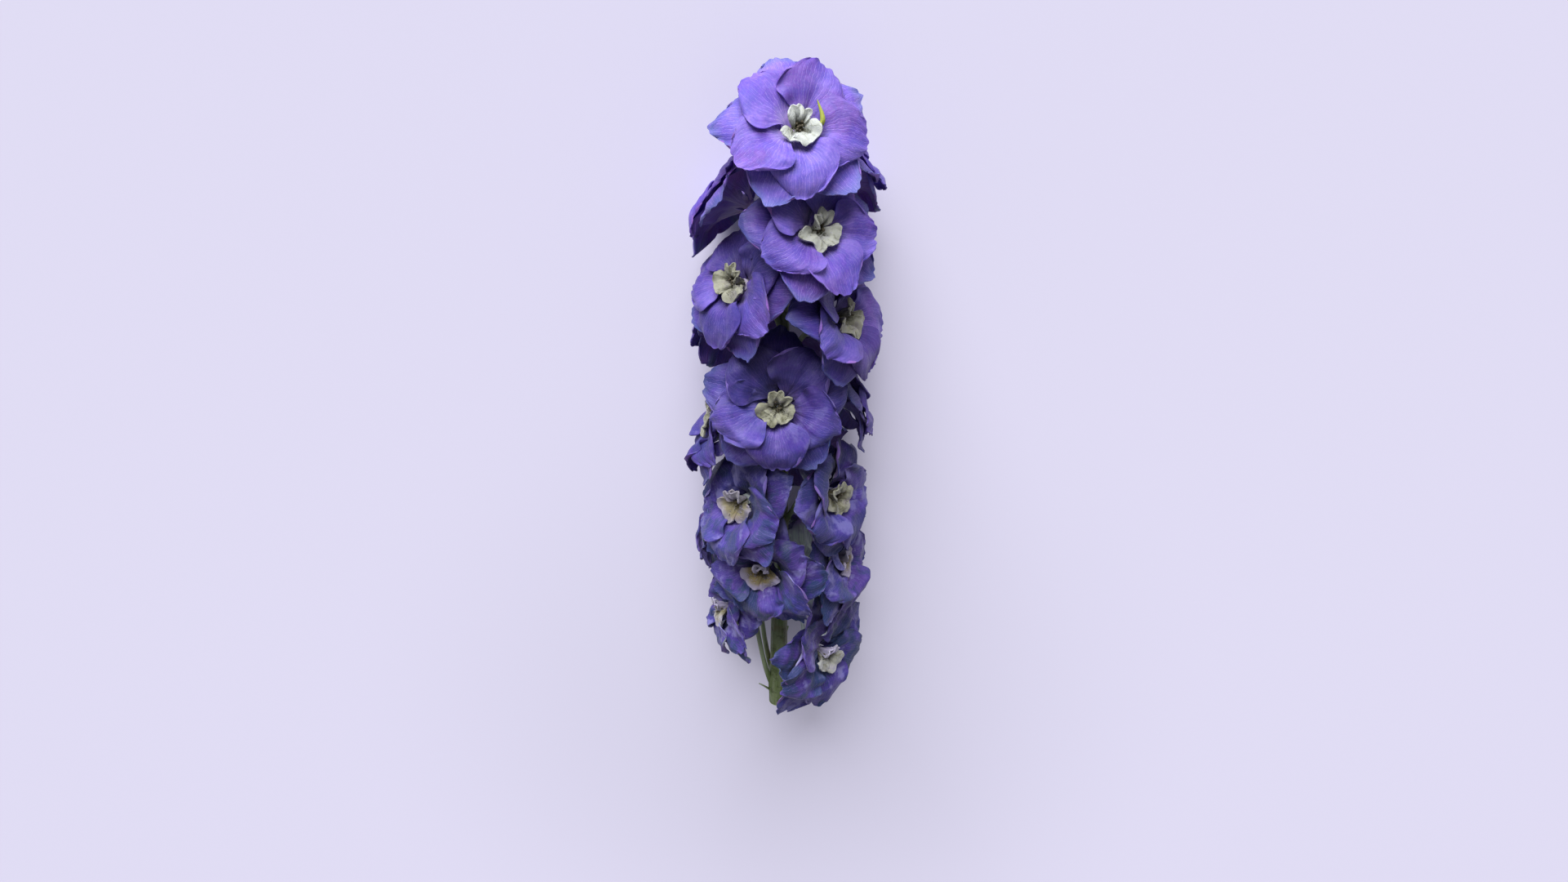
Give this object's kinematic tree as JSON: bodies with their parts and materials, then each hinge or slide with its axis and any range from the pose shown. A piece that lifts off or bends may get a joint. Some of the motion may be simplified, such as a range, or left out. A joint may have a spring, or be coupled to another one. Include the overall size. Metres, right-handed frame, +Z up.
{
  "type": "delphinium flower spike",
  "caption": "Cut delphinium flower spike lying on its side: open blue-violet florets with pale bees in a dense spiral round a green stem.",
  "frame": {"origin": "middle of the bounding box, on the surface that the spike lies on", "axes": "+Y along the stem from its cut end to the tip, +Z up, +X to the right of the side that faces up"},
  "size_m": [0.0828, 0.2998, 0.0724],
  "materials": {
    "sepal": "soft blue-violet petal tissue with fine pale veins",
    "bee": "creamy white small petals, olive-green in the throat",
    "stem": "smooth fresh green stem"
  },
  "bodies": {
    "root": {"floret_01_bee": "bee", "floret_01_sepals": "sepal", "floret_02_bee": "bee", "floret_02_sepals": "sepal", "floret_03_bee": "bee", "floret_03_sepals": "sepal", "floret_04_bee": "bee", "floret_04_sepals": "sepal", "floret_05_bee": "bee", "floret_05_sepals": "sepal", "floret_06_bee": "bee", "floret_06_sepals": "sepal", "floret_07_bee": "bee", "floret_07_sepals": "sepal", "floret_08_bee": "bee", "floret_08_sepals": "sepal", "floret_09_bee": "bee", "floret_09_sepals": "sepal", "floret_10_bee": "bee", "floret_10_sepals": "sepal", "floret_11_bee": "bee", "floret_11_sepals": "sepal", "floret_12_bee": "bee", "floret_12_sepals": "sepal", "floret_13_bee": "bee", "floret_13_sepals": "sepal", "floret_14_bee": "bee", "floret_14_sepals": "sepal", "floret_15_bee": "bee", "floret_15_sepals": "sepal", "floret_16_bee": "bee", "floret_16_sepals": "sepal", "floret_17_bee": "bee", "floret_17_sepals": "sepal", "floret_18_bee": "bee", "floret_18_sepals": "sepal", "floret_19_bee": "bee", "floret_19_sepals": "sepal", "floret_20_bee": "bee", "floret_20_sepals": "sepal", "stem": "stem"}
  },
  "joints": []
}
